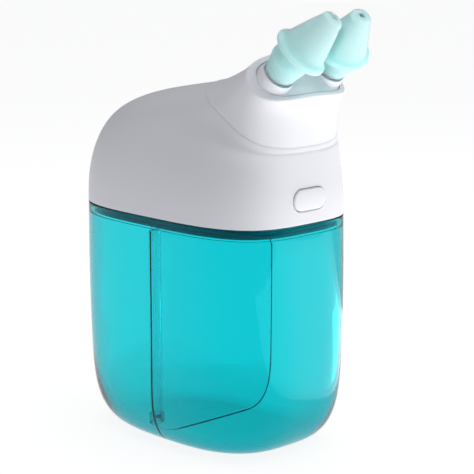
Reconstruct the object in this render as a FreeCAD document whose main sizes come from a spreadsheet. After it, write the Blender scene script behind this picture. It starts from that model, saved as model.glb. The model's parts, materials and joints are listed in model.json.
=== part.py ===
import FreeCAD, Part
import math
import os
import Sketcher

# Powered two-nozzle nasal aspirator with a clear two-compartment tank.
# Millimetres. +Z is up, the button side faces -Y, and the origin is the centre of the tank's flat underside.

SIZES = {
    # clear tank
    "tank_half_width": 39.0,
    "tank_half_depth": 58.4,
    "tank_height": 102.0,
    "end_bulge": 1.65,
    "rim_squareness": 3.4,
    "base_squareness": 2.83,
    "side_foot_inset": 17.5,
    "side_foot_height": 27.8,
    "end_foot_inset": 26.1,
    "end_foot_height": 40.2,
    "foot_squareness": 3.0,
    "tank_wall": 2.0,
    "tank_floor": 2.4,
    "partition_wall": 2.2,
    "partition_top": 97.0,
    # head casing
    "seam_gap": 0.3,
    "head_wall": 2.2,
    "deck_drop": 1.2,
    "deck_thickness": 2.4,
    "base_thickness": 2.4,
    "skirt_depth": 4.3,
    "skirt_wall": 1.8,
    "gasket_width": 1.2,
    "gasket_clearance": 0.15,
    "base_screw_x": 20.0,
    "base_screw_y": 46.0,
    "boss_radius": 3.2,
    "boss_height": 10.0,
    "rib_wall": 2.0,
    "rib_reach": 8.0,
    "screw_radius": 1.2,
    "screw_head_radius": 2.6,
    "screw_head_height": 1.5,
    "screw_length": 9.2,
    "screw_slot_radius": 0.9,
    "screw_slot_depth": 0.8,
    "screw_clearance": 0.2,
    "drill_depth": 7.5,
    "touch_gap": 0.1,
    # nozzle platform, tilted forward
    "platform_y": -53.9,
    "platform_z": 164.7,
    "platform_tilt": 45.0,
    "crown_radius": 67.5,
    "plate_half_length": 21.8,
    "plate_half_width": 9.9,
    "plate_squareness": 3.3,
    "plate_thickness": 1.0,
    "plate_recess": 1.5,
    "plate_gap": 0.2,
    # spigots that carry the nose pieces
    "spigot_pitch": 15.3,
    "spigot_radius": 4.0,
    "spigot_bore": 2.2,
    "spigot_top": 10.6,
    "spigot_bottom": -28.0,
    "spigot_foot_radius": 6.2,
    "spigot_disc_radius": 7.3,
    "spigot_disc_bottom": -0.9,
    "spigot_disc_top": 1.1,
    "ring_height": -26.6,
    "ring_radius": 4.2,
    "ring_thickness": 0.6,
    "bush_gap": 0.02,
    "socket_radius": 6.6,
    "socket_top": -15.0,
    "socket_bottom": -33.0,
    "socket_floor": 2.0,
    "fit_gap": 0.08,
    # silicone nose pieces
    "collar_foot_radius": 6.3,
    "collar_radius": 8.2,
    "collar_bottom": 1.5,
    "collar_waist": 9.7,
    "flange_x": 12.4,
    "flange_height": 14.6,
    "flange_radius": 12.0,
    "flange_bead": 1.8,
    "cone_step": 0.2,
    "tip_x": 7.9,
    "tip_height": 35.8,
    "tip_radius": 4.8,
    "tip_dome": 3.0,
    "tip_opening": 1.6,
    # button and its switch
    "button_half_length": 9.5,
    "button_radius": 4.6,
    "button_z": 112.7,
    "button_face": -59.1,
    "button_back": -55.0,
    "button_gap": 0.3,
    "button_lip": 1.4,
    "plunger_radius": 1.6,
    "plunger_length": 2.0,
    "switch_size": 6.2,
    "switch_depth": 3.5,
    "board_thickness": 1.2,
    "button_board_half": 12.0,
    "button_board_bottom": 106.0,
    "button_board_top": 120.0,
    "bracket_wall": 2.0,
    "bracket_foot": 10.0,
    # pump and motor
    "pump_z": 118.0,
    "gear_pitch_radius": 8.0,
    "gear_tip_radius": 9.0,
    "gear_root_radius": 6.5,
    "gear_width": 6.6,
    "gear_teeth": 12,
    "pump_face": -17.0,
    "pump_depth": 9.0,
    "pump_cavity": 6.8,
    "pump_cavity_radius": 9.3,
    "pump_radius": 11.4,
    "pump_cover": 3.0,
    "port_offset": 7.5,
    "port_half_width": 3.5,
    "nipple_share": 0.8,
    "axle_seat": 1.2,
    "pump_screw_x": 18.2,
    "pump_screw_length": 2.9,
    "small_screw_radius": 0.78,
    "small_screw_hole": 0.8,
    "small_head_radius": 1.6,
    "small_head_height": 1.2,
    "tooth_root_half": 1.3,
    "tooth_tip_half": 0.45,
    "tooth_sink": 0.3,
    "motor_gap": 0.2,
    "motor_cap": 2.5,
    "motor_boss_radius": 3.0,
    "motor_boss_length": 1.5,
    "motor_bracket_half": 13.0,
    "motor_bracket_start": 4.0,
    "motor_bracket_end": 22.0,
    "motor_bracket_drop": 6.0,
    "motor_radius": 12.0,
    "motor_length": 26.0,
    "motor_wall": 1.0,
    "armature_radius": 8.5,
    "armature_length": 18.0,
    "shaft_radius": 1.0,
    "axle_radius": 1.5,
    "shaft_gap": 0.05,
    # hoses
    "nipple_radius": 2.3,
    "nipple_bore": 1.4,
    "nipple_length": 5.0,
    "hose_wall": 0.9,
    "hose_gap": 0.2,
    "hose_top": 136.8,
    "hose_bend": 127.0,
    "hose_turn_y": -32.8,
    "pickup_bend": 114.5,
    "pickup_run": 112.5,
    "deck_nipple_bottom": 131.0,
    "deck_nipple_length": 12.0,
    "riser_x": -29.5,
    "riser_y": 4.6,
    "riser_radius": 2.3,
    "riser_bore": 1.6,
    "riser_bottom": 9.0,
    "strainer_radius": 3.1,
    "strainer_height": 4.0,
    "strainer_slot": 0.4,
    "valve_tip_radius": 2.2,
    "valve_radius": 4.4,
    "valve_cone": 3.4,
    "valve_collar": 1.2,
    "drain_y": -31.3,
    # battery and boards
    "cell_radius": 9.1,
    "cell_length": 50.0,
    "cell_y": 33.0,
    "cell_lift": 1.2,
    "cell_gap": 0.2,
    "cell_tab_radius": 3.0,
    "cell_tab": 1.0,
    "cradle_wall": 3.0,
    "cradle_height": 21.0,
    "cradle_bed": 6.0,
    "board_screw_inset": 1.6,
    "board_head_radius": 1.3,
    "board_head_height": 1.0,
    "main_board_thickness": 1.6,
    # charging socket and its cover
    "charge_z": 110.0,
    "charge_half_width": 4.5,
    "charge_half_height": 1.6,
    "charge_depth": 6.6,
    "charge_wall": 0.4,
    "charge_board_half": 9.0,
    "charge_board_depth": 9.0,
    "charge_bracket_half": 8.0,
    "cover_half_width": 8.5,
    "cover_half_height": 5.0,
    "cover_thickness": 1.1,
    "cover_gap": 0.2,
    "cover_face": 58.0,
    "cover_corner": 2.0,
    "pivot_radius": 0.3,
    "pivot_reach": 0.9,
}

# The head is lofted through fanned cross-sections, each a superellipse spanning from the
# front line of the casing to its back line.
SECTION_KEYS = ("front_y", "front_z", "rear_y", "rear_z", "half_width", "squareness")
HEAD_SECTIONS = {
    "seam": (-58.4, 102.3, 58.4, 102.3, 39.0, 3.4),
    "waist": (-58.3, 112.0, 57.6, 116.0, 38.6, 3.4),
    "hip": (-57.6, 121.0, 52.8, 130.5, 37.1, 3.4),
    "shoulder": (-57.0, 128.0, 41.8, 143.3, 34.9, 3.4),
    "back": (-56.5, 132.0, 16.7, 153.5, 32.4, 3.4),
    "parting": (-56.5, 134.2, -16.0, 160.0, 28.8, 3.0),
    "neck": (-57.6, 143.5, -31.2, 165.9, 27.4, 2.5),
    "throat": (-59.0, 150.5, -37.6, 168.9, 26.8, 2.5),
    "platform": (-62.46, 156.14, -45.34, 173.26, 25.5, 2.9),
}
for section_name, section_values in HEAD_SECTIONS.items():
    for key, value in zip(SECTION_KEYS, section_values):
        SIZES[f"{section_name}_{key}"] = value

doc = FreeCAD.newDocument("nasal_aspirator")
sheet = doc.addObject("Spreadsheet::Sheet", "sizes")
for row, (alias, value) in enumerate(SIZES.items(), start=1):
    sheet.set(f"A{row}", alias)
    sheet.set(f"B{row}", str(value))
    sheet.setAlias(f"B{row}", alias)
doc.recompute()


class Size:
    """A length with its value and the spreadsheet expression that gives it."""

    def __init__(self, value, text):
        self.value = value
        self.text = text

    def join(self, other, sign, value):
        return Size(value, f"({self.text} {sign} {as_size(other).text})")

    def __add__(self, other):
        return self.join(other, "+", self.value + as_size(other).value)

    def __sub__(self, other):
        return self.join(other, "-", self.value - as_size(other).value)

    def __mul__(self, other):
        return self.join(other, "*", self.value * as_size(other).value)

    def __truediv__(self, other):
        return self.join(other, "/", self.value / as_size(other).value)

    def __radd__(self, other):
        return as_size(other) + self

    def __rsub__(self, other):
        return as_size(other) - self

    def __rmul__(self, other):
        return as_size(other) * self

    def __neg__(self):
        return Size(-self.value, f"(0 - {self.text})")


def as_size(number):
    return number if isinstance(number, Size) else Size(number, repr(number))


def given(alias):
    return float(sheet.get(alias))


def size(alias):
    return Size(given(alias), f"{sheet.Name}.{alias}")


def head_sections():
    return [[given(f"{name}_{key}") for key in SECTION_KEYS] for name in HEAD_SECTIONS]


nodes = []


def node(label, item):
    """Give a finished object its node name."""
    item.Label = label
    nodes.append(item)
    return item


def bind(item, **properties):
    for name, number in properties.items():
        item.setExpression(name, as_size(number).text)


def place(item, x, y, z, axis=(0, 0, 1), angle=0):
    numbers = [as_size(number) for number in (x, y, z)]
    base = FreeCAD.Vector(*[number.value for number in numbers])
    item.Placement = FreeCAD.Placement(base, FreeCAD.Rotation(FreeCAD.Vector(*axis), angle))
    for letter, number in zip("xyz", numbers):
        item.setExpression(f"Placement.Base.{letter}", number.text)
    return item


def box(x0, x1, y0, y1, z0, z1):
    x0, x1, y0, y1, z0, z1 = [as_size(number) for number in (x0, x1, y0, y1, z0, z1)]
    item = doc.addObject("Part::Box", "Block")
    bind(item, Length=x1 - x0, Width=y1 - y0, Height=z1 - z0)
    return place(item, x0, y0, z0)


TURNS = {"x": ((0, 1, 0), 90), "y": ((1, 0, 0), -90), "z": ((0, 0, 1), 0)}


def cylinder(radius, length, x, y, z, along="z"):
    """A cylinder that starts at a point and runs along an axis."""
    item = doc.addObject("Part::Cylinder", "Rod")
    bind(item, Radius=radius, Height=length)
    return place(item, x, y, z, *TURNS[along])


def cut(base, *tools):
    for tool in tools:
        item = doc.addObject("Part::Cut", "Cut")
        item.Base, item.Tool = base, tool
        item.Refine = False
        base = item
    return base


def fuse(*shapes):
    item = doc.addObject("Part::MultiFuse", "Fuse")
    item.Shapes = list(shapes)
    item.Refine = True
    return item


def common(first, second):
    item = doc.addObject("Part::Common", "Common")
    item.Base, item.Tool = first, second
    item.Refine = False
    return item


def group(*shapes):
    item = doc.addObject("Part::Compound", "Group")
    item.Links = list(shapes)
    return item


def tube(radius, bore, length, x, y, z, along="z"):
    return cut(cylinder(radius, length, x, y, z, along), cylinder(bore, length, x, y, z, along))


def superellipse(centre, half_x, half_y, squareness):
    """A closed smooth wire around a centre, given its two half-axis vectors."""
    points = []
    count = 48
    for step in range(count):
        turn = 2 * math.pi * (step / count + 0.25)
        across, along = math.cos(turn), math.sin(turn)
        reach = (abs(across) ** squareness + abs(along) ** squareness) ** (-1 / squareness)
        points.append(centre + half_x * across * reach + half_y * along * reach)
    curve = Part.BSplineCurve()
    curve.interpolate(points, PeriodicFlag=True)
    return Part.Wire([curve.toShape()])


def outline(wire):
    item = doc.addObject("Part::Feature", "Section")
    item.Shape = wire
    return item


def loft(wires, ruled=False):
    item = doc.addObject("Part::Loft", "Loft")
    item.Sections = [outline(wire) for wire in wires]
    item.Solid = True
    item.Ruled = ruled
    return item


def level_outline(half_width, half_depth, level, squareness):
    return superellipse(
        FreeCAD.Vector(0, 0, level),
        FreeCAD.Vector(half_width, 0, 0),
        FreeCAD.Vector(0, half_depth, 0),
        squareness,
    )


def plan_prism(inset, low, high):
    """A straight prism with the tank's plan, drawn in by an inset."""
    wire = level_outline(
        given("tank_half_width") - inset, given("tank_half_depth") - inset, low, given("rim_squareness")
    )
    item = doc.addObject("Part::Extrusion", "Prism")
    item.Base = outline(wire)
    item.DirMode = "Custom"
    item.Dir = FreeCAD.Vector(0, 0, 1)
    item.LengthFwd = high - low
    item.Solid = True
    return item


# ---------------------------------------------------------------- tank

FOOT_ANGLES = (0, 9, 20, 34, 50, 68, 79)
WALL_STEPS = 4


def tank_outline(level, inset, floor):
    """The tank's plan at a level, drawn in by a wall. Above its rounded foot, the ends bow out a little."""
    rise = level - floor
    share = rise / given("tank_height")
    power = given("foot_squareness")

    def foot(side):
        left = 1 - min(rise / given(f"{side}_foot_height"), 1)
        return given(f"{side}_foot_inset") * (1 - (1 - left ** power) ** (1 / power))

    half_width = given("tank_half_width") - foot("side") - inset
    bulge = given("end_bulge") * math.sin(math.pi * share)
    half_depth = given("tank_half_depth") - foot("end") - inset + bulge
    squareness = given("base_squareness") + (given("rim_squareness") - given("base_squareness")) * share
    return level_outline(half_width, half_depth, level, squareness)


def tank_form(inset, floor, top):
    """The tank's outer or inner form: a rounded foot below nearly straight walls."""
    power = 2 / given("foot_squareness")
    foot_top = floor + given("end_foot_height")
    foot = []
    for angle in FOOT_ANGLES:
        rise = given("end_foot_height") * (1 - math.cos(math.radians(angle)) ** power)
        foot.append(tank_outline(floor + rise, inset, floor))
    walls = []
    for step in range(WALL_STEPS + 1):
        walls.append(tank_outline(foot_top + (top - foot_top) * step / WALL_STEPS, inset, floor))
    return fuse(loft(foot + walls[:1]), loft(walls))


def make_tank():
    outer = tank_form(0, 0, given("tank_height"))
    inner = tank_form(given("tank_wall"), given("tank_floor"), given("tank_height") + 1)
    half = size("partition_wall") / 2
    reach = size("tank_half_width")
    partition = box(-reach, reach, -half, half, -1, size("partition_top"))
    return node("water_tank", cut(outer, cut(inner, partition)))


# ---------------------------------------------------------------- head forms

def section_points(wall):
    """Front and rear points of each head section, moved inwards by the wall thickness."""
    sections = head_sections()
    fronts = [FreeCAD.Vector(0, row[0], row[1]) for row in sections]
    rears = [FreeCAD.Vector(0, row[2], row[3]) for row in sections]

    def shifted(line, side):
        result = []
        for index, point in enumerate(line):
            before = line[max(index - 1, 0)]
            after = line[min(index + 1, len(line) - 1)]
            run = (after - before).normalize()
            result.append(point + FreeCAD.Vector(0, run.z, -run.y) * side * wall)
        return result

    return shifted(fronts, 1), shifted(rears, -1)


def head_form(wall, reach_below=0, reach_above=3):
    """The loft of the whole head. It can run past its two ends, so that later cuts go clean through."""
    fronts, rears = section_points(wall)
    rows = head_sections()
    fronts[0].z = rears[0].z = rows[0][1]
    wires = [
        section_wire(front, rear, row[4] - wall, row[5]) for front, rear, row in zip(fronts, rears, rows)
    ]
    if reach_below:
        drop = FreeCAD.Vector(0, 0, -reach_below)
        wires.insert(0, section_wire(fronts[0] + drop, rears[0] + drop, rows[0][4] - wall, rows[0][5]))
    tilt = math.radians(given("platform_tilt"))
    rise = FreeCAD.Vector(0, -math.sin(tilt), math.cos(tilt)) * reach_above
    wires.append(section_wire(fronts[-1] + rise, rears[-1] + rise, rows[-1][4] - wall, rows[-1][5]))
    return loft(wires)


def section_wire(front, rear, half_width, squareness):
    return superellipse(
        (front + rear) * 0.5, FreeCAD.Vector(half_width, 0, 0), (rear - front) * 0.5, squareness
    )


def parting_slab(low, high):
    """A big block between two offsets from the plane where the nozzle dock leaves the head."""
    front = FreeCAD.Vector(0, given("parting_front_y"), given("parting_front_z"))
    rear = FreeCAD.Vector(0, given("parting_rear_y"), given("parting_rear_z"))
    tilt = math.degrees(math.atan2(rear.z - front.z, rear.y - front.y))
    turn = FreeCAD.Rotation(FreeCAD.Vector(1, 0, 0), tilt)
    item = doc.addObject("Part::Box", "Slab")
    item.Length, item.Width, item.Height = 200, 400, high - low
    item.Placement = FreeCAD.Placement(front + turn.multVec(FreeCAD.Vector(-100, -200, low)), turn)
    return item


def on_platform(item, x=0, y=0, level=0, axis=(0, 0, 1), angle=0):
    """Place an item in the tilted frame of the nozzle platform."""
    turn = FreeCAD.Rotation(FreeCAD.Vector(1, 0, 0), given("platform_tilt"))
    base = FreeCAD.Vector(0, given("platform_y"), given("platform_z"))
    own = FreeCAD.Placement(FreeCAD.Vector(x, y, level), FreeCAD.Rotation(FreeCAD.Vector(*axis), angle))
    item.Placement = FreeCAD.Placement(base, turn).multiply(own)
    return item


def platform_rod(radius, low, high, x):
    item = doc.addObject("Part::Cylinder", "Rod")
    bind(item, Radius=radius, Height=as_size(high) - low)
    return on_platform(item, x=x, level=as_size(low).value)


def crown(depth):
    """A wide cylinder whose top is the crowned platform face, lowered by a depth."""
    item = doc.addObject("Part::Cylinder", "Crown")
    bind(item, Radius=size("crown_radius") - depth, Height=as_size(100))
    return on_platform(item, y=50, level=-given("crown_radius"), axis=(1, 0, 0), angle=90)


def plate_prism(gap):
    wire = level_outline(
        given("plate_half_length") + gap, given("plate_half_width") + gap, 0, given("plate_squareness")
    )
    item = doc.addObject("Part::Extrusion", "Prism")
    item.Base = outline(wire)
    item.DirMode = "Custom"
    item.Dir = FreeCAD.Vector(0, 0, 1)
    item.LengthFwd = 20
    item.Solid = True
    return on_platform(item, level=-10)


def stadium(half_length, radius, y0, y1, z):
    """An upright slot-shaped prism that runs along Y."""
    half = as_size(half_length) - radius
    middle = box(-half, half, y0, y1, as_size(z) - radius, as_size(z) + radius)
    length = as_size(y1) - y0
    ends = [cylinder(radius, length, side * half, y0, z, "y") for side in (-1, 1)]
    return fuse(middle, *ends)


# ---------------------------------------------------------------- head casing

def base_top():
    """The level of the upper face of the head's base plate."""
    return size("tank_height") + size("seam_gap") + size("base_thickness")


def cover_axis():
    """Y and Z of the line that the port cover turns about."""
    half = size("cover_thickness") / 2
    return size("cover_face") - half, size("charge_z") + size("cover_half_height") - half


def make_head_shell():
    walls = cut(head_form(0), head_form(given("head_wall"), reach_below=2))
    bosses = []
    drills = []
    foot = base_top() + size("touch_gap")
    for side_x in (-1, 1):
        for side_y in (-1, 1):
            x = size("base_screw_x") * side_x
            y = size("base_screw_y") * side_y
            top = foot + size("boss_height")
            bosses.append(cylinder(size("boss_radius"), size("boss_height"), x, y, foot))
            half = size("rib_wall") / 2
            reach = y + size("rib_reach") * side_y
            low, high = (y, reach) if side_y > 0 else (reach, y)
            bosses.append(box(x - half, x + half, low, high, foot, top))
            drills.append(cylinder(size("screw_radius"), size("drill_depth"), x, y, foot))
    shell = fuse(common(walls, parting_slab(-200, 0)), *bosses)
    window = stadium(
        size("button_half_length") + size("button_gap"), size("button_radius") + size("button_gap"),
        -70, -50, size("button_z"),
    )
    wall = size("charge_wall")
    socket_hole = stadium(
        size("charge_half_width") + wall, size("charge_half_height") + wall, 50, 70, size("charge_z")
    )
    rear = size("cover_face")
    half_width = size("cover_half_width") + size("cover_gap")
    half_height = size("cover_half_height") + size("cover_gap")
    recess = box(
        -half_width, half_width, rear - size("cover_thickness") - size("touch_gap"), rear + 5,
        size("charge_z") - half_height, size("charge_z") + half_height,
    )
    reach = size("cover_half_width") + 1
    pivots = cylinder(size("pivot_radius") + size("shaft_gap"), 2 * reach, -reach, *cover_axis(), "x")
    return node("head_shell", cut(shell, *drills, window, socket_hole, recess, pivots))


def make_head_base():
    floor = given("tank_height") + given("seam_gap")
    top = floor + given("base_thickness")
    inner = given("tank_wall") + given("gasket_width") + given("gasket_clearance")
    bottom = given("tank_height") - given("skirt_depth")
    plate = plan_prism(given("head_wall") + given("touch_gap"), floor, top)
    skirt = cut(plan_prism(inner, bottom, floor), plan_prism(inner + given("skirt_wall"), bottom, floor))
    low = size("tank_height") + size("seam_gap")
    drops = []
    bores = []
    reach = size("base_thickness") + size("nipple_length")
    places = ((size("riser_x"), size("riser_y")), (size("spigot_pitch"), size("drain_y")))
    for x, y in places:
        drops.append(cylinder(size("nipple_radius"), reach, x, y, low))
        bores.append(cylinder(size("nipple_bore"), 20, x, y, low - 5))
    for side_x in (-1, 1):
        for side_y in (-1, 1):
            x = size("base_screw_x") * side_x
            y = size("base_screw_y") * side_y
            bores.append(cylinder(size("screw_radius") + size("screw_clearance"), 10, x, y, low - 2))
    node("head_base", cut(fuse(plate, skirt, *drops), *bores))
    outer = given("tank_wall") + given("gasket_clearance")
    top = floor - given("touch_gap") * 4
    band = cut(plan_prism(outer, bottom, top), plan_prism(inner, bottom, top))
    node("tank_gasket", band)


def make_base_screws():
    low = size("tank_height") + size("seam_gap")
    screws = []
    for side_x in (-1, 1):
        for side_y in (-1, 1):
            x = size("base_screw_x") * side_x
            y = size("base_screw_y") * side_y
            height = size("screw_head_height")
            head = cylinder(size("screw_head_radius"), height, x, y, low - height)
            shank = cylinder(size("screw_radius"), size("screw_length"), x, y, low)
            recess = cylinder(size("screw_slot_radius"), size("screw_slot_depth"), x, y, low - height)
            screws.append(cut(fuse(head, shank), recess))
    node("base_screws", group(*screws))


def make_head_deck():
    """The plate that closes the top of the head, with a socket for each spigot."""
    low = -given("deck_drop") - given("deck_thickness")
    plate = common(head_form(given("head_wall") + given("touch_gap")), parting_slab(low, -given("deck_drop")))
    solids = []
    holes = []
    for side in (-1, 1):
        x = given("spigot_pitch") * side
        solids.append(platform_rod(size("socket_radius"), size("socket_bottom"), size("socket_top"), x))
        holes.append(platform_rod(
            size("ring_radius") + size("ring_thickness") + size("shaft_gap"),
            size("socket_bottom") + size("socket_floor"), 0, x,
        ))
        bottom, length = size("deck_nipple_bottom"), size("deck_nipple_length")
        solids.append(cylinder(size("nipple_radius"), length, x, size("drain_y"), bottom))
        holes.append(cylinder(size("nipple_bore"), length + 1, x, size("drain_y"), bottom - 1))
    whole = common(fuse(plate, *solids), parting_slab(-100, -given("deck_drop")))
    node("head_deck", cut(whole, *holes))


# ---------------------------------------------------------------- nozzle dock

DOCK_REACH = 20


def spigot_holes():
    """Two rods that cut the holes for the spigots' feet."""
    radius = size("spigot_radius") + size("bush_gap")
    return [platform_rod(radius, -DOCK_REACH, DOCK_REACH, side * given("spigot_pitch")) for side in (-1, 1)]


def make_dock_shell():
    depth = given("plate_recess") + given("head_wall")
    outer = common(head_form(0), crown(0))
    inner = common(head_form(given("head_wall")), crown(depth))
    shell = common(cut(outer, inner), parting_slab(given("seam_gap"), 200))
    recess = cut(plate_prism(given("plate_gap")), crown(given("plate_recess")))
    node("dock_shell", cut(shell, recess, *spigot_holes()))
    face = given("plate_recess") - given("plate_thickness")
    plate = cut(common(plate_prism(0), crown(face)), crown(given("plate_recess")))
    node("platform_plate", cut(plate, *spigot_holes()))


def make_spigot(label, side):
    """A stepped tube: a footed disc on the platform, a seat for the nose piece and a plug for the deck."""
    x = given("spigot_pitch") * side
    stem = platform_rod(size("spigot_radius"), size("spigot_bottom"), size("spigot_top"), x)
    foot = platform_rod(size("spigot_foot_radius"), -4, size("spigot_disc_bottom"), x)
    foot = cut(foot, crown(given("plate_recess") - given("plate_thickness")))
    disc = platform_rod(size("spigot_disc_radius"), size("spigot_disc_bottom"), size("spigot_disc_top"), x)
    bore = platform_rod(size("spigot_bore"), -40, 20, x)
    half = size("ring_thickness") + size("touch_gap")
    groove = cut(
        platform_rod(size("spigot_radius") + 1, size("ring_height") - half, size("ring_height") + half, x),
        platform_rod(size("ring_radius") - size("ring_thickness"), -40, 0, x),
    )
    node(label, cut(fuse(stem, foot, disc), bore, groove))


def make_dock_rings():
    rings = []
    for side in (-1, 1):
        ring = doc.addObject("Part::Torus", "Ring")
        bind(ring, Radius1=size("ring_radius"), Radius2=size("ring_thickness"))
        rings.append(on_platform(ring, x=given("spigot_pitch") * side, level=given("ring_height")))
    node("dock_seal_rings", group(*rings))


SEAT_REACH = 0.4
LUMEN_REACH = 6


def pillow_profile(rise):
    """Half section of the flange and cone, which is turned about Y."""
    wide, bead = given("flange_radius"), given("flange_bead")
    tip, dome = given("tip_radius"), given("tip_dome")
    rim = wide - bead
    diagonal = math.sqrt(0.5)
    points = [(0, -bead), (rim, -bead), (rim + given("cone_step"), bead), (tip, rise - dome), (0, rise)]
    middles = {1: (wide, 0), 3: (tip * diagonal, rise - dome * (1 - diagonal))}
    sketch = doc.addObject("Sketcher::SketchObject", "PillowProfile")
    for index, start in enumerate(points):
        start = FreeCAD.Vector(*start, 0)
        end = FreeCAD.Vector(*points[(index + 1) % len(points)], 0)
        if index in middles:
            sketch.addGeometry(Part.Arc(start, FreeCAD.Vector(*middles[index], 0), end))
        else:
            sketch.addGeometry(Part.LineSegment(start, end))
    return sketch


def make_pillow(label, side):
    """A soft nose piece: a tapered collar on the spigot, a rolled flange and a cone that leans inwards."""
    x = given("spigot_pitch") * side
    across = given("flange_x") - given("tip_x")
    up = given("tip_height") - given("flange_height")
    lean = -math.degrees(math.atan2(across, up)) * side
    seat_x, seat_level = given("flange_x") * side, given("flange_height")

    cone = doc.addObject("Part::Revolution", "Cone")
    cone.Source = pillow_profile(math.hypot(across, up))
    cone.Axis = FreeCAD.Vector(0, 1, 0)
    cone.Angle = 360
    cone.Solid = True
    on_platform(cone, x=seat_x, level=seat_level, axis=(0, 1, 0), angle=lean)
    upright = FreeCAD.Placement(FreeCAD.Vector(), FreeCAD.Rotation(FreeCAD.Vector(1, 0, 0), 90))
    cone.Placement = cone.Placement.multiply(upright)

    collar = doc.addObject("Part::Cone", "Collar")
    bind(collar, Radius1=size("collar_foot_radius"), Radius2=size("collar_radius"),
         Height=size("collar_waist") - size("collar_bottom"))
    on_platform(collar, x=x, level=given("collar_bottom"))
    neck = platform_rod(size("collar_radius"), size("collar_waist"), size("flange_height"), x)
    seat = platform_rod(size("spigot_radius") + size("fit_gap"), 0, size("spigot_top") + SEAT_REACH, x)
    lumen = doc.addObject("Part::Cylinder", "Lumen")
    bind(lumen, Radius=size("tip_opening"), Height=size("tip_height"))
    on_platform(lumen, x=seat_x, level=seat_level, axis=(0, 1, 0), angle=lean)
    lowered = FreeCAD.Placement(FreeCAD.Vector(0, 0, -LUMEN_REACH), FreeCAD.Rotation())
    lumen.Placement = lumen.Placement.multiply(lowered)
    node(label, cut(fuse(cone, collar, neck), seat, lumen))


# ---------------------------------------------------------------- button

def make_button():
    lip, back = size("button_lip"), size("button_back")
    long, radius, level = size("button_half_length"), size("button_radius"), size("button_z")
    face = stadium(long, radius, size("button_face"), back, level)
    start = back + lip
    flange = stadium(long + lip, radius + lip, back, start, level)
    node("power_button", fuse(face, flange))
    plunger, throw = size("plunger_radius"), size("plunger_length")
    node("switch_plunger", cylinder(plunger, throw, 0, start, level, "y"))
    body = start + throw - size("button_gap")
    half = size("switch_size") / 2
    block = box(-half, half, body, body + size("switch_depth"), level - half, level + half)
    hole = cylinder(plunger + size("touch_gap"), throw + 0.2, 0, body, level, "y")
    node("tact_switch", cut(block, hole))
    board = body + size("switch_depth")
    wide, wall = size("button_board_half"), size("bracket_wall")
    back = board + size("board_thickness")
    top = size("button_board_top")
    node("button_board", box(-wide, wide, board, back, size("button_board_bottom"), top))
    floor = base_top()
    upright = box(-wide, wide, back, back + wall, floor, top + 1)
    foot = box(-wide, wide, back, back + size("bracket_foot"), floor, floor + wall)
    node("switch_bracket", fuse(upright, foot))


# ---------------------------------------------------------------- pump and motor

def racetrack(radius, y0, y1):
    reach = size("gear_pitch_radius")
    level = size("pump_z")
    middle = box(-reach, reach, y0, y1, level - radius, level + radius)
    ends = [cylinder(radius, as_size(y1) - y0, side * reach, y0, level, "y") for side in (-1, 1)]
    return fuse(middle, *ends)


def make_pump():
    face = size("pump_face")
    reach = size("gear_pitch_radius")
    level = size("pump_z")
    cavity_end = face + size("pump_cavity")
    back = face + size("pump_depth")
    chambers = [
        cylinder(size("pump_cavity_radius"), size("pump_cavity"), side * reach, face, level, "y")
        for side in (-1, 1)
    ]
    half, offset = size("port_half_width"), size("port_offset")
    ports = box(-half, half, face, cavity_end, level - offset, level + offset)
    shaft_hole = cylinder(size("shaft_radius") + size("shaft_gap"), 5, -reach, back - 4, level, "y")
    seat = size("axle_seat")
    axle_hole = cylinder(size("axle_radius") + size("shaft_gap"), seat, reach, cavity_end, level, "y")
    block = racetrack(size("pump_radius"), face, back)
    node("pump_housing", cut(block, *chambers, ports, shaft_hole, axle_hole))

    front = face - size("pump_cover")
    plate = racetrack(size("pump_radius"), front, face)
    nipples = []
    holes = [cylinder(size("axle_radius") + size("shaft_gap"), seat, reach, face - seat, level, "y")]
    for side in (-1, 1):
        height = level + offset * side * size("nipple_share")
        tip = front - size("nipple_length")
        nipples.append(cylinder(size("nipple_radius"), size("nipple_length"), 0, tip, height, "y"))
        holes.append(cylinder(size("nipple_bore"), 12, 0, tip, height, "y"))
    screws = []
    for x in (-size("pump_screw_x"), size("pump_screw_x")):
        height = size("small_head_height")
        head = cylinder(size("small_head_radius"), height, x, front - height, level, "y")
        shank = cylinder(size("small_screw_radius"), size("pump_screw_length"), x, front, level, "y")
        screws.append(fuse(head, shank))
        holes.append(cylinder(size("small_screw_hole"), size("pump_cover"), x, front, level, "y"))
    node("pump_screws", group(*screws))
    node("pump_cover", cut(fuse(plate, *nipples), *holes))


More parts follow.
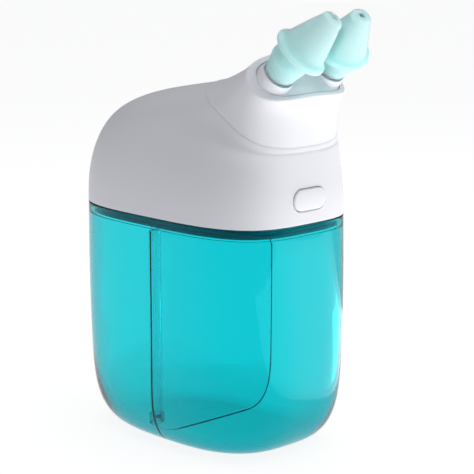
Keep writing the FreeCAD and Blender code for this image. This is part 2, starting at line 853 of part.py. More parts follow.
def make_gear(label, x, phase, bore):
    """A spur gear: a root disc with one padded tooth repeated round it, and a bore."""
    body = doc.addObject("PartDesign::Body", "Gear")
    plane = next(item for item in body.Origin.OriginFeatures if item.Role == "XY_Plane")
    disc_sketch = body.newObject("Sketcher::SketchObject", "Disc")
    disc_sketch.AttachmentSupport = [(plane, "")]
    disc_sketch.MapMode = "FlatFace"
    for number, radius in enumerate(("gear_root_radius", bore)):
        disc_sketch.addGeometry(Part.Circle(FreeCAD.Vector(), FreeCAD.Vector(0, 0, 1), given(radius)))
        index = disc_sketch.addConstraint(Sketcher.Constraint("Radius", number, given(radius)))
        disc_sketch.addConstraint(Sketcher.Constraint("Coincident", number, 3, -1, 1))
        disc_sketch.setExpression(f"Constraints[{index}]", size(radius).text)
    disc = body.newObject("PartDesign::Pad", "DiscPad")
    disc.Profile = disc_sketch
    bind(disc, Length=size("gear_width"))
    root, tip = given("gear_root_radius") - given("tooth_sink"), given("gear_tip_radius")
    tooth_sketch = body.newObject("Sketcher::SketchObject", "Tooth")
    tooth_sketch.AttachmentSupport = [(plane, "")]
    tooth_sketch.MapMode = "FlatFace"
    wide, narrow = given("tooth_root_half"), given("tooth_tip_half")
    corners = [(root, -wide), (tip, -narrow), (tip, narrow), (root, wide)]
    for index, corner in enumerate(corners):
        after = corners[(index + 1) % 4]
        tooth_sketch.addGeometry(Part.LineSegment(FreeCAD.Vector(*corner, 0), FreeCAD.Vector(*after, 0)))
    tooth = body.newObject("PartDesign::Pad", "ToothPad")
    tooth.Profile = tooth_sketch
    bind(tooth, Length=size("gear_width"))
    pattern = body.newObject("PartDesign::PolarPattern", "Teeth")
    pattern.Originals = [tooth]
    pattern.Axis = (disc_sketch, ["N_Axis"])
    pattern.Angle = 360
    pattern.Occurrences = int(given("gear_teeth"))
    body.Tip = pattern
    start = given("pump_face") + (given("pump_cavity") - given("gear_width")) / 2
    turn = FreeCAD.Rotation(FreeCAD.Vector(1, 0, 0), -90)
    spin = FreeCAD.Rotation(FreeCAD.Vector(0, 0, 1), phase)
    body.Placement = FreeCAD.Placement(FreeCAD.Vector(x, start, given("pump_z")), turn.multiply(spin))
    return node(label, body)


def make_motor():
    reach = size("gear_pitch_radius")
    level = size("pump_z")
    front = size("pump_face") + size("pump_depth") + size("motor_gap")
    can = cylinder(size("motor_radius"), size("motor_length"), -reach, front, level, "y")
    hollow = cylinder(size("motor_radius") - size("motor_wall"), size("motor_length"), -reach,
                      front + size("motor_wall"), level, "y")
    hole = cylinder(size("shaft_radius") + size("shaft_gap"), 10, -reach, front - 5, level, "y")
    node("motor_can", cut(can, hollow, hole))
    thick = size("motor_cap")
    cap_start = front + size("motor_length") - thick
    radius = size("motor_radius") - size("motor_wall") - size("bush_gap")
    cap = cylinder(radius, thick, -reach, cap_start, level, "y")
    boss_start = cap_start + thick
    boss = cylinder(size("motor_boss_radius"), size("motor_boss_length"), -reach, boss_start, level, "y")
    cap_hole = cylinder(size("shaft_radius") + size("shaft_gap"), 10, -reach, cap_start - 2, level, "y")
    node("motor_end_cap", cut(fuse(cap, boss), cap_hole))
    shaft_start = size("pump_face") + 0.3
    shaft_length = front + size("motor_length") + 2 - shaft_start
    node("motor_shaft", cylinder(size("shaft_radius"), shaft_length, -reach, shaft_start, level, "y"))
    node("motor_armature", tube(size("armature_radius"), size("shaft_radius"), size("armature_length"),
                                -reach, front + thick, level, "y"))
    axle = cylinder(size("axle_radius"), size("pump_cavity") + 2, reach, size("pump_face") - 1, level, "y")
    node("idler_axle", axle)
    half = size("motor_bracket_half")
    block = box(
        -reach - half, -reach + half, front + size("motor_bracket_start"), front + size("motor_bracket_end"),
        base_top(), level - size("motor_bracket_drop"),
    )
    seat = cylinder(size("motor_radius") + size("bush_gap"), 40, -reach, front, level, "y")
    node("motor_bracket", cut(block, seat))


# ---------------------------------------------------------------- hoses

def hose(label, points, radius, bore):
    """A tube swept along straight runs that are joined by tangent arcs."""
    points = [FreeCAD.Vector(*point) for point in points]
    edges = []
    start = points[0]
    for index in range(1, len(points) - 1):
        corner = points[index]
        into = (corner - points[index - 1]).normalize()
        out = (points[index + 1] - corner).normalize()
        half_turn = into.getAngle(out) / 2
        shorter = min((corner - points[index - 1]).Length, (points[index + 1] - corner).Length)
        pull = 0.45 * shorter
        bend = pull / math.tan(half_turn)
        first, last = corner - into * pull, corner + out * pull
        inward = (out - into).normalize()
        middle = corner + inward * (bend / math.cos(half_turn) - bend)
        edges.append(Part.LineSegment(start, first).toShape())
        edges.append(Part.Arc(first, middle, last).toShape())
        start = last
    edges.append(Part.LineSegment(start, points[-1]).toShape())
    path = Part.Wire(edges)
    along = (points[1] - points[0]).normalize()
    solids = []
    for width in (radius, bore):
        ring = Part.Wire([Part.Circle(points[0], along, width).toShape()])
        solids.append(path.makePipeShell([ring], True, False))
    item = doc.addObject("Part::Feature", "Hose")
    item.Shape = solids[0].cut(solids[1])
    return node(label, item)


def make_hoses():
    bore = given("nipple_radius")
    radius = bore + given("hose_wall")
    floor = base_top().value + given("hose_gap")
    pitch, drain_y, turn_y = given("spigot_pitch"), given("drain_y"), given("hose_turn_y")
    top, bend = given("hose_top"), given("hose_bend")
    port = given("port_offset") * given("nipple_share")
    upper, lower = given("pump_z") + port, given("pump_z") - port
    cover = given("pump_face") - given("pump_cover") - given("seam_gap")
    hose("saline_hose", [
        (-pitch, drain_y, top), (-pitch, drain_y, bend), (0, turn_y, upper), (0, cover, upper),
    ], radius, bore)
    hose("waste_hose", [(pitch, drain_y, top), (pitch, drain_y, floor)], radius, bore)
    x, y = given("riser_x"), given("riser_y")
    hose("intake_hose", [
        (x, y, floor), (x, y, given("pickup_bend")), (x, drain_y + 1, given("pickup_run")),
        (0, turn_y, lower), (0, cover, lower),
    ], radius, bore)


def make_riser():
    top = size("tank_height") + size("seam_gap")
    x, y = size("riser_x"), size("riser_y")
    bottom = size("riser_bottom")
    node("intake_riser", tube(size("riser_radius"), size("riser_bore"), top - bottom, x, y, bottom))
    tall, slot = size("strainer_height"), size("strainer_slot")
    cup = tube(size("strainer_radius"), size("riser_radius"), tall, x, y, bottom - 1)
    slots = [
        box(x - tall, x + tall, y - slot, y + slot, bottom - 2, bottom),
        box(x - slot, x + slot, y - tall, y + tall, bottom - 2, bottom),
    ]
    node("intake_strainer", cut(cup, *slots))
    drain = size("drain_y")
    x = size("spigot_pitch")
    cone, rim = size("valve_cone"), size("valve_collar")
    valve = doc.addObject("Part::Cone", "Bill")
    bind(valve, Radius1=size("valve_tip_radius"), Radius2=size("valve_radius"), Height=cone)
    place(valve, x, drain, top - cone - rim)
    collar = cylinder(size("valve_radius"), rim, x, drain, top - rim)
    well = cylinder(size("nipple_bore"), cone + 1, x, drain, top - cone)
    node("drain_valve", cut(fuse(valve, collar), well))


# ---------------------------------------------------------------- battery, boards, charging port

def make_power():
    floor = base_top()
    radius, gap = size("cell_radius"), size("cell_gap")
    level = floor + radius + size("cell_lift")
    half = size("cell_length") / 2
    y = size("cell_y")
    tab = size("cell_tab")
    node("battery_cell", fuse(
        cylinder(radius, size("cell_length") - tab, -half, y, level, "x"),
        cylinder(size("cell_tab_radius"), tab, half - tab, y, level, "x"),
    ))
    end = half + size("cradle_wall")
    top = floor + size("cradle_height")
    bed = box(-end, end, y - radius, y + radius, floor, floor + size("cradle_bed"))
    ends = [
        box(-end, -half - gap, y - radius, y + radius, floor, top),
        box(half + gap, end, y - radius, y + radius, floor, top),
    ]
    seat = cylinder(radius + size("bush_gap"), size("cell_length") + 2 * gap, -half - gap, y, level, "x")
    node("battery_cradle", cut(fuse(bed, *ends), seat))
    above = top + size("main_board_thickness")
    board = box(-end, end, y - radius, y + radius, top, above)
    holes = []
    screws = []
    for side in (-1, 1):
        x = side * (half + size("board_screw_inset"))
        holes.append(cylinder(size("small_screw_hole"), 10, x, y, top - 5))
        screws.append(fuse(
            cylinder(size("board_head_radius"), size("board_head_height"), x, y, above),
            cylinder(size("small_screw_radius"), size("main_board_thickness"), x, y, top),
        ))
    node("main_board", cut(board, *holes))
    node("board_screws", group(*screws))


def make_charging_port():
    z = size("charge_z")
    rear = size("cover_face")
    inner = rear - size("head_wall") - size("cover_gap")
    width, height, wall = size("charge_half_width"), size("charge_half_height"), size("charge_wall")
    outer = stadium(width, height, inner - size("charge_depth"), inner, z)
    hollow = stadium(width - wall, height - wall, inner - size("charge_depth") + 1, inner + 1, z)
    node("charging_socket", cut(outer, hollow))
    under = z - height
    lower = under - size("board_thickness")
    wide, start = size("charge_board_half"), inner - size("charge_board_depth")
    node("charging_board", box(-wide, wide, start, inner - 0.5, lower, under))
    narrow = size("charge_bracket_half")
    node("charging_bracket", box(-narrow, narrow, start, inner - 1, base_top(), lower))

    half_width, half_height = size("cover_half_width"), size("cover_half_height")
    axis_y, axis_z = cover_axis()
    cover = box(-half_width, half_width, rear - size("cover_thickness"), rear, z - half_height, axis_z)
    doc.recompute()
    rounded = doc.addObject("Part::Fillet", "Rounded")
    rounded.Base = cover
    lower = []
    for number, edge in enumerate(cover.Shape.Edges, start=1):
        direction = edge.tangentAt(edge.FirstParameter)
        if abs(direction.y) > 0.9 and edge.CenterOfMass.z < given("charge_z"):
            lower.append((number, given("cover_corner"), given("cover_corner")))
    rounded.Edges = lower
    knuckle = cylinder(size("cover_thickness") / 2, 2 * half_width, -half_width, axis_y, axis_z, "x")
    reach = half_width + size("pivot_reach")
    pivots = cylinder(size("pivot_radius"), 2 * reach, -reach, axis_y, axis_z, "x")
    node("port_cover", fuse(rounded, knuckle, pivots))


make_tank()
make_head_shell()
make_head_base()
make_base_screws()
make_head_deck()
make_dock_shell()
for side_name, side_sign in (("left", -1), ("right", 1)):
    make_spigot(f"spigot_{side_name}", side_sign)
make_dock_rings()
for side_name, side_sign in (("left", -1), ("right", 1)):
    make_pillow(f"pillow_{side_name}", side_sign)
make_button()
make_pump()
make_gear("drive_gear", -given("gear_pitch_radius"), 0, "shaft_radius")
make_gear("idler_gear", given("gear_pitch_radius"), 180 / given("gear_teeth"), "axle_radius")
make_motor()
make_hoses()
make_riser()
make_power()
make_charging_port()

doc.recompute()
faults = []
for item in doc.Objects:
    if "Invalid" in item.State or "Error" in item.State:
        faults.append(f"{item.Label}: {item.State}")
for item in nodes:
    if item.Shape.isNull() or not item.Shape.isValid() or not item.Shape.Solids:
        faults.append(f"{item.Label}: shape is not sound")
if faults:
    raise RuntimeError("; ".join(faults))

os.makedirs("parts", exist_ok=True)
for item in nodes:
    item.Shape.exportStep(f"parts/{item.Label}.step")
    print(f"{item.Label:18s} {len(item.Shape.Solids):2d} solids {item.Shape.Volume:10.1f} mm3")
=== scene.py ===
import json
import math

import bmesh
import bpy
import numpy as np
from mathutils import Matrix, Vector


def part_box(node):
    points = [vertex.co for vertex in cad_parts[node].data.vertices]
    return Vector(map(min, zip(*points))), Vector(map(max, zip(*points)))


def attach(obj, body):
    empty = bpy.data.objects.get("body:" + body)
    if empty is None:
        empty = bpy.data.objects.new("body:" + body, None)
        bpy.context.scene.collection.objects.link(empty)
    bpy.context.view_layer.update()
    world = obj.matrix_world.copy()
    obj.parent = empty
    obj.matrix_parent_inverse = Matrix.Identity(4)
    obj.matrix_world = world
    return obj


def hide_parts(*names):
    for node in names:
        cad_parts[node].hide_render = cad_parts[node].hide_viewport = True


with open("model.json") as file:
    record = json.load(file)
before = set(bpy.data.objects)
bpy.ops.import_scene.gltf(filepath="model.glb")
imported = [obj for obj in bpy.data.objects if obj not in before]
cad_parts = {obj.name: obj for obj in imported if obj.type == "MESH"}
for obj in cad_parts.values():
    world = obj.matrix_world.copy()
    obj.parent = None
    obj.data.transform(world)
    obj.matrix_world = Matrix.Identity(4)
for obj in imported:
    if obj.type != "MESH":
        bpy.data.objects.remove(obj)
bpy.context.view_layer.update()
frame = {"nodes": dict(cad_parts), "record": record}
MM = 0.001

# ---------------------------------------------------------------- driving dimensions, in metres

HALF_WIDTH = 39.0 * MM
HALF_DEPTH = 58.4 * MM
TANK_TOP = 102.0 * MM
END_BULGE = 1.65 * MM
SIDE_FOOT = (17.5 * MM, 27.8 * MM)  # how far the rounded foot draws in, and how high it reaches
END_FOOT = (26.1 * MM, 40.2 * MM)
FOOT_SQUARENESS = 3.0
RIM_SQUARENESS = 3.4
BASE_SQUARENESS = 2.83
WALL = 2.0 * MM
FLOOR_WALL = 2.4 * MM
TANK_RIM = 0.45 * MM
LEDGE_WIDTH = 0.45 * MM
LEDGE_LEVEL = TANK_TOP - 4.9 * MM
LEDGE_ROUND = 0.25 * MM
CHAMBER_INSET = WALL + LEDGE_WIDTH
CHAMBER_FILLET = 0.6 * MM
PARTITION_HALF = 0.5 * MM
PARTITION_TOP = 97.0 * MM
PARTITION_ROUND = 0.5 * MM
PARTITION_CORNER = 0.5 * MM
SKIN_END = PARTITION_TOP - 0.6 * MM
JOIN_LEVEL = PARTITION_TOP - PARTITION_ROUND - 0.9 * MM

HEAD_WALL = 2.2 * MM
CASING_EDGE = 0.25 * MM
DOCK_SEAM = 0.12 * MM
DOCK_EDGE = 0.2 * MM
DOCK_RIM = 1.0 * MM
DOCK_CEILING = 0.93  # where the dock's inner wall closes, along the head's loft

PLATFORM_CENTRE = np.array([0, -53.9 * MM, 164.7 * MM])
PLATFORM_TILT = math.radians(45)
CROWN_RADIUS = 67.5 * MM
SPIGOT_PITCH = 15.3 * MM

BUTTON_HALF_LENGTH = 9.5 * MM
BUTTON_RADIUS = 4.6 * MM
BUTTON_REACH = 4.1 * MM
BUTTON_SHOULDER = 1.4 * MM
BUTTON_EDGE = 0.7 * MM
BUTTON_DOME = 0.25 * MM
WINDOW_LEVEL = 112.7 * MM
WINDOW_GAP = 0.28 * MM

GASKET_CLEARANCE = 0.15 * MM
GASKET_THICKNESS = 1.2 * MM
GASKET_LIP = 0.224 * MM

# ---------------------------------------------------------------- tables, in millimetres

# Cross-sections of the head: front point, back point, half width and squareness.
HEAD_SECTIONS = [
    ("seam", -58.4, 102.3, 58.4, 102.3, 39.0, 3.4),
    ("waist", -58.3, 112.0, 57.6, 116.0, 38.6, 3.4),
    ("hip", -57.6, 121.0, 52.8, 130.5, 37.1, 3.4),
    ("shoulder", -57.0, 128.0, 41.8, 143.3, 34.9, 3.4),
    ("back", -56.5, 132.0, 16.7, 153.5, 32.4, 3.4),
    ("parting", -56.5, 134.2, -16.0, 160.0, 28.8, 3.0),
    ("neck", -57.6, 143.5, -31.2, 165.9, 27.4, 2.5),
    ("throat", -59.0, 150.5, -37.6, 168.9, 26.8, 2.5),
    ("platform", -62.46, 156.14, -45.34, 173.26, 25.5, 2.9),
]
PARTING = 5

# Window for the button: place along Y, and how much wider than the button's own face.
WINDOW_FLARE = [(-70.0, 0.75), (-58.9, 0.75), (-58.3, 0.4), (-57.9, 0.0), (-50.0, 0.0)]

# Rows inside the button's rounded edge: share of the flat, and rise of the domed face.
BUTTON_CROWN = [(0.7, 0.14), (0.4, 0.22), (0.15, 0.25)]

# The platform, under its crown: half length, half width and depth.
PLATFORM_SQUARENESS = 3.3
WELL = (22.0, 10.1)
WELL_DEPTH = 1.5
WELL_EDGE = [(22.3, 10.4, 0.0), (22.1, 10.2, 0.08), (*WELL, 0.3), (*WELL, WELL_DEPTH)]
PLATE = (21.6, 9.7)
PLATE_NET = (21.8, 9.9)
PLATE_FACE, PLATE_BACK = 0.5, 1.45
PLATE_ROUND = 0.3

# Spigot: level over the platform and radius, up the outside and down to the bore's mouth.
SPIGOT_PROFILE = [
    (-28.0, 2.2), (-28.0, 3.6), (-27.6, 4.0), (-27.3, 4.0), (-27.3, 3.6), (-25.9, 3.6), (-25.9, 4.0),
    (-4.0, 4.0), (-4.0, 7.6), (-2.6, 7.5), (-1.2, 7.4), (0.0, 7.3), (0.6, 7.2), (0.8, 7.05),
    (0.85, 6.85), (0.75, 6.65), (0.3, 6.55), (-0.3, 6.5), (-0.5, 6.3), (-0.5, 4.0),
    (10.1, 4.0), (10.5, 3.8), (10.6, 3.4), (10.6, 2.6), (10.4, 2.2),
]

# Nose piece. A row is (share, level, radius): share 0 is turned about the spigot's line, and share 1
# about the leaning cone's own line, whose levels start at the flange.
COLLAR, CONE = 0.0, 1.0
COLLAR_LOW, COLLAR_HIGH = 1.5, 9.7
COLLAR_NARROW, COLLAR_WIDE = 6.3, 8.2
COLLAR_FOOT = [(COLLAR, COLLAR_LOW, 4.6), (COLLAR, COLLAR_LOW, 5.8), (COLLAR, 1.6, 6.1)]
COLLAR_PLAIN = (1.9, 3.5)
COLLAR_RIDGES = (5.6, 7.0, 8.4)
RIDGE_PROFILE = [(-0.35, 0.0), (-0.12, 0.17), (0.12, 0.17), (0.35, 0.0)]
COLLAR_NECK = [(COLLAR, COLLAR_HIGH, COLLAR_WIDE), (COLLAR, 10.8, 8.15), (0.25, 11.6, 8.2)]
FLANGE_X, FLANGE_LEVEL = 12.4, 14.6
FLANGE_RADIUS, FLANGE_BEAD = 12.0, 1.8
UNDERCUT, UNDERCUT_SHARE = 0.2, 0.98
CONE_STEP = 0.3
CONE_FOOT, CONE_TIP, CONE_SWELL = 9.9, 4.8, 0.2
TIP_X, TIP_LEVEL = 8.0, 35.25
TIP_DOME, TIP_FLAT = 3.0, 1.9
TIP_OPENING = [(0.01, 1.75), (0.12, 1.3), (1.0, 1.25), (2.6, 2.6)]  # drop below the tip, and radius
INNER_FOOT, INNER_TIP = 7.5, 3.3
INNER_THROAT = [
    (CONE, 0.2, 7.2), (0.3, 12.4, 5.2), (COLLAR, 11.2, 4.3), (COLLAR, 10.9, 4.08), (COLLAR, 5.0, 4.08),
]

# ---------------------------------------------------------------- how finely the meshes are drawn

RING_POINTS = 192
NOSE_POINTS = 96
SPIGOT_POINTS = 64
SLOT_STEPS = 24
ARC_STEPS = 88
CROSS_STEPS = 8
CORNER_STEPS = 8
LINE_STEPS = 36
FOOT_STEPS = 34
NECK_STEPS = 60
MERGE_DISTANCE = 1e-7
CAP_SHARES = (0.8, 0.55, 0.28)
FOOT_CAP_SHARES = (0.85, 0.6, 0.3)


# ---------------------------------------------------------------- mesh helpers

def quarter(steps, first=1):
    """Cosine and sine at each step through a quarter turn."""
    turns = [math.pi / 2 * step / steps for step in range(first, steps + 1)]
    return [(math.cos(turn), math.sin(turn)) for turn in turns]


def circle(count):
    turn = 2 * np.pi * np.arange(count) / count
    return np.cos(turn), np.sin(turn)


def superellipse(squareness):
    """Unit outline points, starting at the back and turning towards -X."""
    turn = 2 * np.pi * (np.arange(RING_POINTS) / RING_POINTS + 0.25)
    across, along = np.cos(turn), np.sin(turn)
    reach = (np.abs(across) ** squareness + np.abs(along) ** squareness) ** (-1 / squareness)
    return across * reach, along * reach


def at_level(flat, level):
    return np.column_stack([flat, np.full(len(flat), level)])


def new_object(name, vertices, faces):
    """A smooth-shaded mesh with joined doubles and its normals outwards."""
    mesh = bpy.data.meshes.new(name)
    mesh.from_pydata([tuple(map(float, v)) for v in vertices], [], faces)
    piece = bpy.data.objects.new(name, mesh)
    bpy.context.scene.collection.objects.link(piece)
    work = bmesh.new()
    work.from_mesh(mesh)
    bmesh.ops.remove_doubles(work, verts=work.verts, dist=MERGE_DISTANCE)
    bmesh.ops.recalc_face_normals(work, faces=work.faces)
    work.to_mesh(mesh)
    work.free()
    mesh.polygons.foreach_set("use_smooth", [True] * len(mesh.polygons))
    return piece


def ring_faces(ring_count, count, offset=0):
    faces = []
    for ring in range(ring_count - 1):
        for step in range(count):
            after = (step + 1) % count
            low, high = offset + ring * count, offset + (ring + 1) * count
            faces.append((low + step, low + after, high + after, high + step))
    return faces


def cap_rings(ring, shares=CAP_SHARES):
    """Shrinking copies of a ring towards its middle, so that a cap isn't one thin fan."""
    middle = ring.mean(0)
    return [middle + (ring - middle) * share for share in shares]


def ring_object(name, rings, closed=False):
    """A skin over rings. Its ends are capped, or the last ring meets the first one."""
    rings = [np.asarray(ring, float) for ring in rings]
    count = len(rings[0])
    if closed:
        rings = rings + [rings[0]]
    else:
        rings = cap_rings(rings[0])[::-1] + rings + cap_rings(rings[-1])
    faces = ring_faces(len(rings), count)
    if not closed:
        faces.append(tuple(range(count)))
        faces.append(tuple(range((len(rings) - 1) * count, len(rings) * count)))
    return new_object(name, np.concatenate(rings), faces)


def sharpen(piece, degrees):
    """Keep smooth shading across gentle bends only."""
    piece.data.set_sharp_from_angle(angle=math.radians(degrees))


def spline(knots, rows, where):
    """Natural cubic spline through rows of values."""
    knots, rows, where = np.asarray(knots, float), np.asarray(rows, float), np.asarray(where, float)
    count = len(knots)
    gap = np.diff(knots)
    system = np.zeros((count, count))
    right = np.zeros_like(rows)
    system[0, 0] = system[-1, -1] = 1
    for index in range(1, count - 1):
        system[index, index - 1] = gap[index - 1]
        system[index, index] = 2 * (gap[index - 1] + gap[index])
        system[index, index + 1] = gap[index]
        ahead = (rows[index + 1] - rows[index]) / gap[index]
        behind = (rows[index] - rows[index - 1]) / gap[index - 1]
        right[index] = 6 * (ahead - behind)
    bend = np.linalg.solve(system, right)
    found = np.clip(np.searchsorted(knots, where) - 1, 0, count - 2)
    width = gap[found][:, None]
    ahead = (knots[found + 1] - where)[:, None]
    behind = (where - knots[found])[:, None]
    return (
        bend[found] * ahead ** 3 / (6 * width) + bend[found + 1] * behind ** 3 / (6 * width)
        + (rows[found] / width - bend[found] * width / 6) * ahead
        + (rows[found + 1] / width - bend[found + 1] * width / 6) * behind
    )


def inward(ring, normal):
    """Unit vectors that point into a flat ring, within its plane."""
    run = np.roll(ring, -1, 0) - np.roll(ring, 1, 0)
    side = np.cross(run, normal)
    side /= np.linalg.norm(side, axis=1)[:, None]
    middle = ring.mean(0)
    return -side if ((middle - ring) * side).sum() < 0 else side


def rounded_rim(ring, normal, radius):
    """Rings that roll from a side wall over onto a flat rim. The ring lies on the rim's plane."""
    side = inward(ring, normal)
    return [
        ring + side * radius * (1 - cosine) - np.asarray(normal) * radius * (1 - sine)
        for cosine, sine in quarter(4, 0)
    ]


def cut_out(piece, cutter):
    """Cut one mesh with another, and keep the result as the piece's own mesh."""
    change = piece.modifiers.new("cut", "BOOLEAN")
    change.operation = "DIFFERENCE"
    change.solver = "EXACT"
    change.object = cutter
    graph = bpy.context.evaluated_depsgraph_get()
    graph.update()
    mesh = bpy.data.meshes.new_from_object(piece.evaluated_get(graph))
    old = piece.data
    piece.modifiers.clear()
    piece.data = mesh
    mesh.name = piece.name
    bpy.data.meshes.remove(old)
    bpy.data.objects.remove(cutter)


def slot_rings(profile, middle_z):
    """Slot-shaped rings that run along Y. A profile row is (y, half length, radius)."""
    rings = []
    for y, half_length, radius in profile:
        half = half_length - radius
        ring = []
        for side, start in ((1, -math.pi / 2), (-1, math.pi / 2)):
            for step in range(SLOT_STEPS + 1):
                turn = start + math.pi * step / SLOT_STEPS
                ring.append((side * half + radius * math.cos(turn), y, radius * math.sin(turn) + middle_z))
        rings.append(np.array(ring))
    return rings


# ---------------------------------------------------------------- head surface

def head_table(wall=0.0):
    """Section values in metres, drawn inwards within each section's own plane by a wall."""
    least_slant = 0.3
    table = np.array([row[1:] for row in HEAD_SECTIONS], float)
    table[:, :5] *= MM
    if not wall:
        return table
    fronts, rears = table[:, 0:2].copy(), table[:, 2:4].copy()
    for index in range(len(table)):
        before, after = max(index - 1, 0), min(index + 1, len(table) - 1)
        across = rears[index] - fronts[index]
        across /= np.linalg.norm(across)
        for line, columns, sign in ((fronts, slice(0, 2), 1), (rears, slice(2, 4), -1)):
            run = line[after] - line[before]
            run /= np.linalg.norm(run)
            slant = abs(across[0] * run[1] - across[1] * run[0])
            table[index, columns] += sign * across * wall / max(slant, least_slant)
    table[:, 4] -= wall
    return table


def head_knots():
    """Places of the sections along the loft, from 0 at the seam to 1 at the platform."""
    table = head_table()
    steps = np.linalg.norm(np.diff(table[:, 0:2], axis=0), axis=1)
    steps = steps + np.linalg.norm(np.diff(table[:, 2:4], axis=0), axis=1)
    knots = np.concatenate([[0], np.cumsum(np.sqrt(steps))])
    return knots / knots[-1]


HEAD_KNOTS = head_knots()


def head_rings(where, wall=0.0):
    """Closed rings of the head's skin at places along its loft."""
    rings = []
    values = spline(HEAD_KNOTS, head_table(wall), where)
    for front_y, front_z, rear_y, rear_z, half_width, squareness in values:
        across, along = superellipse(squareness)
        middle = np.array([0, (front_y + rear_y) / 2, (front_z + rear_z) / 2])
        half = np.array([0, (rear_y - front_y) / 2, (rear_z - front_z) / 2])
        rings.append(middle + np.outer(along, half) + np.outer(across * half_width, [1, 0, 0]))
    return rings


def section_normal(index):
    """Unit normal of a section's plane, pointing up the loft."""
    _, front_y, front_z, rear_y, rear_z, _, _ = HEAD_SECTIONS[index]
    run = np.array([0, rear_y - front_y, rear_z - front_z])
    run /= np.linalg.norm(run)
    return np.array([0, -run[2], run[1]])


# ---------------------------------------------------------------- platform coordinates

NORMAL = np.array([0, -math.sin(PLATFORM_TILT), math.cos(PLATFORM_TILT)])
SIDEWAYS = np.array([0, math.cos(PLATFORM_TILT), math.sin(PLATFORM_TILT)])


def crown_drop(x):
    return CROWN_RADIUS - np.sqrt(CROWN_RADIUS ** 2 - x ** 2)


def to_world(x, y, level):
    """Platform coordinates to the object's own frame."""
    x, y, level = np.broadcast_arrays(x, y, level)
    return PLATFORM_CENTRE + np.outer(x, [1, 0, 0]) + np.outer(y, SIDEWAYS) + np.outer(level, NORMAL)


def plate_ring(half_length, half_width, depth):
    """An outline on the crowned platform, from sizes in millimetres."""
    across, along = superellipse(PLATFORM_SQUARENESS)
    x, y = across * (half_length * MM), along * (half_width * MM)
    return to_world(x, y, -crown_drop(x) - depth * MM)


def plate_net(outline, depth, shares):
    """Smaller and smaller outlines, which close a flat."""
    return [plate_ring(outline[0] * share, outline[1] * share, depth) for share in shares]


# ---------------------------------------------------------------- materials

def shader(name, **values):
    """A Principled material with values set on its own sockets, and its node."""
    material = bpy.data.materials.new(name)
    material.use_nodes = True
    node = material.node_tree.nodes["Principled BSDF"]
    for key, value in values.items():
        socket = node.inputs[key.replace("_", " ")]
        socket.default_value = (*value, 1) if socket.type == "RGBA" else value
    return material, node


def add_grain(material, node, scale, depth, roughness, spread, detail=3.0):
    """Fine moulded surface: noise drives a small bump, and the roughness around its own value."""
    tree = material.node_tree
    place = tree.nodes.new("ShaderNodeTexCoord")
    noise = tree.nodes.new("ShaderNodeTexNoise")
    noise.inputs["Scale"].default_value = scale
    noise.inputs["Detail"].default_value = detail
    bump = tree.nodes.new("ShaderNodeBump")
    bump.inputs["Strength"].default_value = 1.0
    bump.inputs["Distance"].default_value = depth
    span = tree.nodes.new("ShaderNodeMapRange")
    span.inputs["To Min"].default_value = roughness - spread
    span.inputs["To Max"].default_value = roughness + spread
    tree.links.new(place.outputs["Object"], noise.inputs["Vector"])
    tree.links.new(noise.outputs["Fac"], bump.inputs["Height"])
    tree.links.new(bump.outputs["Normal"], node.inputs["Normal"])
    tree.links.new(noise.outputs["Fac"], span.inputs["Value"])
    tree.links.new(span.outputs["Result"], node.inputs["Roughness"])
    return noise


def vary_colour(material, node, noise, dark, light):
    """The colour drifts a little between two shades along the grain."""
    tree = material.node_tree
    ramp = tree.nodes.new("ShaderNodeValToRGB")
    for element, colour, position in zip(ramp.color_ramp.elements, (dark, light), (0.3, 0.7)):
        element.color = (*colour, 1)
        element.position = position
    tree.links.new(noise.outputs["Fac"], ramp.inputs["Fac"])
    tree.links.new(ramp.outputs["Color"], node.inputs["Base Color"])


def plain(name, colour, roughness, metallic=0.0, scale=900, **values):
    """A moulded or machined material with grain and a slight drift of colour."""
    shade = 0.9
    material, node = shader(name, Roughness=roughness, Metallic=metallic, **values)
    noise = add_grain(material, node, scale, depth=0.00002, roughness=roughness, spread=0.05)
    vary_colour(material, node, noise, tuple(c * shade for c in colour), colour)
    return material


def white_plastic():
    roughness = 0.46
    material, node = shader(
        "white_abs", Roughness=roughness, IOR=1.45,
        Subsurface_Weight=0.12, Subsurface_Radius=(1.0, 0.95, 0.9), Subsurface_Scale=0.002,
    )
    noise = add_grain(material, node, 1400, depth=0.000006, roughness=roughness, spread=0.03)
    vary_colour(material, node, noise, (0.79, 0.79, 0.835), (0.81, 0.81, 0.855))
    return material


def clear_teal():
    """Clear polymer whose colour deepens with its thickness."""
    material, node = shader(
        "clear_teal_polymer", Base_Color=(1.0, 1.0, 1.0), Roughness=0.015, IOR=1.36,
        Transmission_Weight=1.0, Specular_Tint=(0.2, 0.8, 1.0),
    )
    add_grain(material, node, 120, depth=0.000002, roughness=0.02, spread=0.008, detail=1.0)
    tree = material.node_tree
    absorb = tree.nodes.new("ShaderNodeVolumeAbsorption")
    absorb.inputs["Color"].default_value = (0.0, 0.895, 0.912, 1)
    absorb.inputs["Density"].default_value = 900
    output = next(item for item in tree.nodes if item.type == "OUTPUT_MATERIAL")
    tree.links.new(absorb.outputs["Volume"], output.inputs["Volume"])
    return material


def soft_aqua():
    roughness = 0.42
    material, node = shader(
        "aqua_silicone", Roughness=roughness, IOR=1.35, Transmission_Weight=0.12,
        Subsurface_Weight=1.0, Subsurface_Radius=(0.8, 1.0, 0.97), Subsurface_Scale=0.008,
        Sheen_Weight=0.35, Sheen_Roughness=0.35, Sheen_Tint=(0.92, 0.90, 1.0),
    )
    noise = add_grain(material, node, 700, depth=0.000012, roughness=roughness, spread=0.05)
    vary_colour(material, node, noise, (0.48, 0.96, 0.925), (0.53, 0.97, 0.94))
    return material


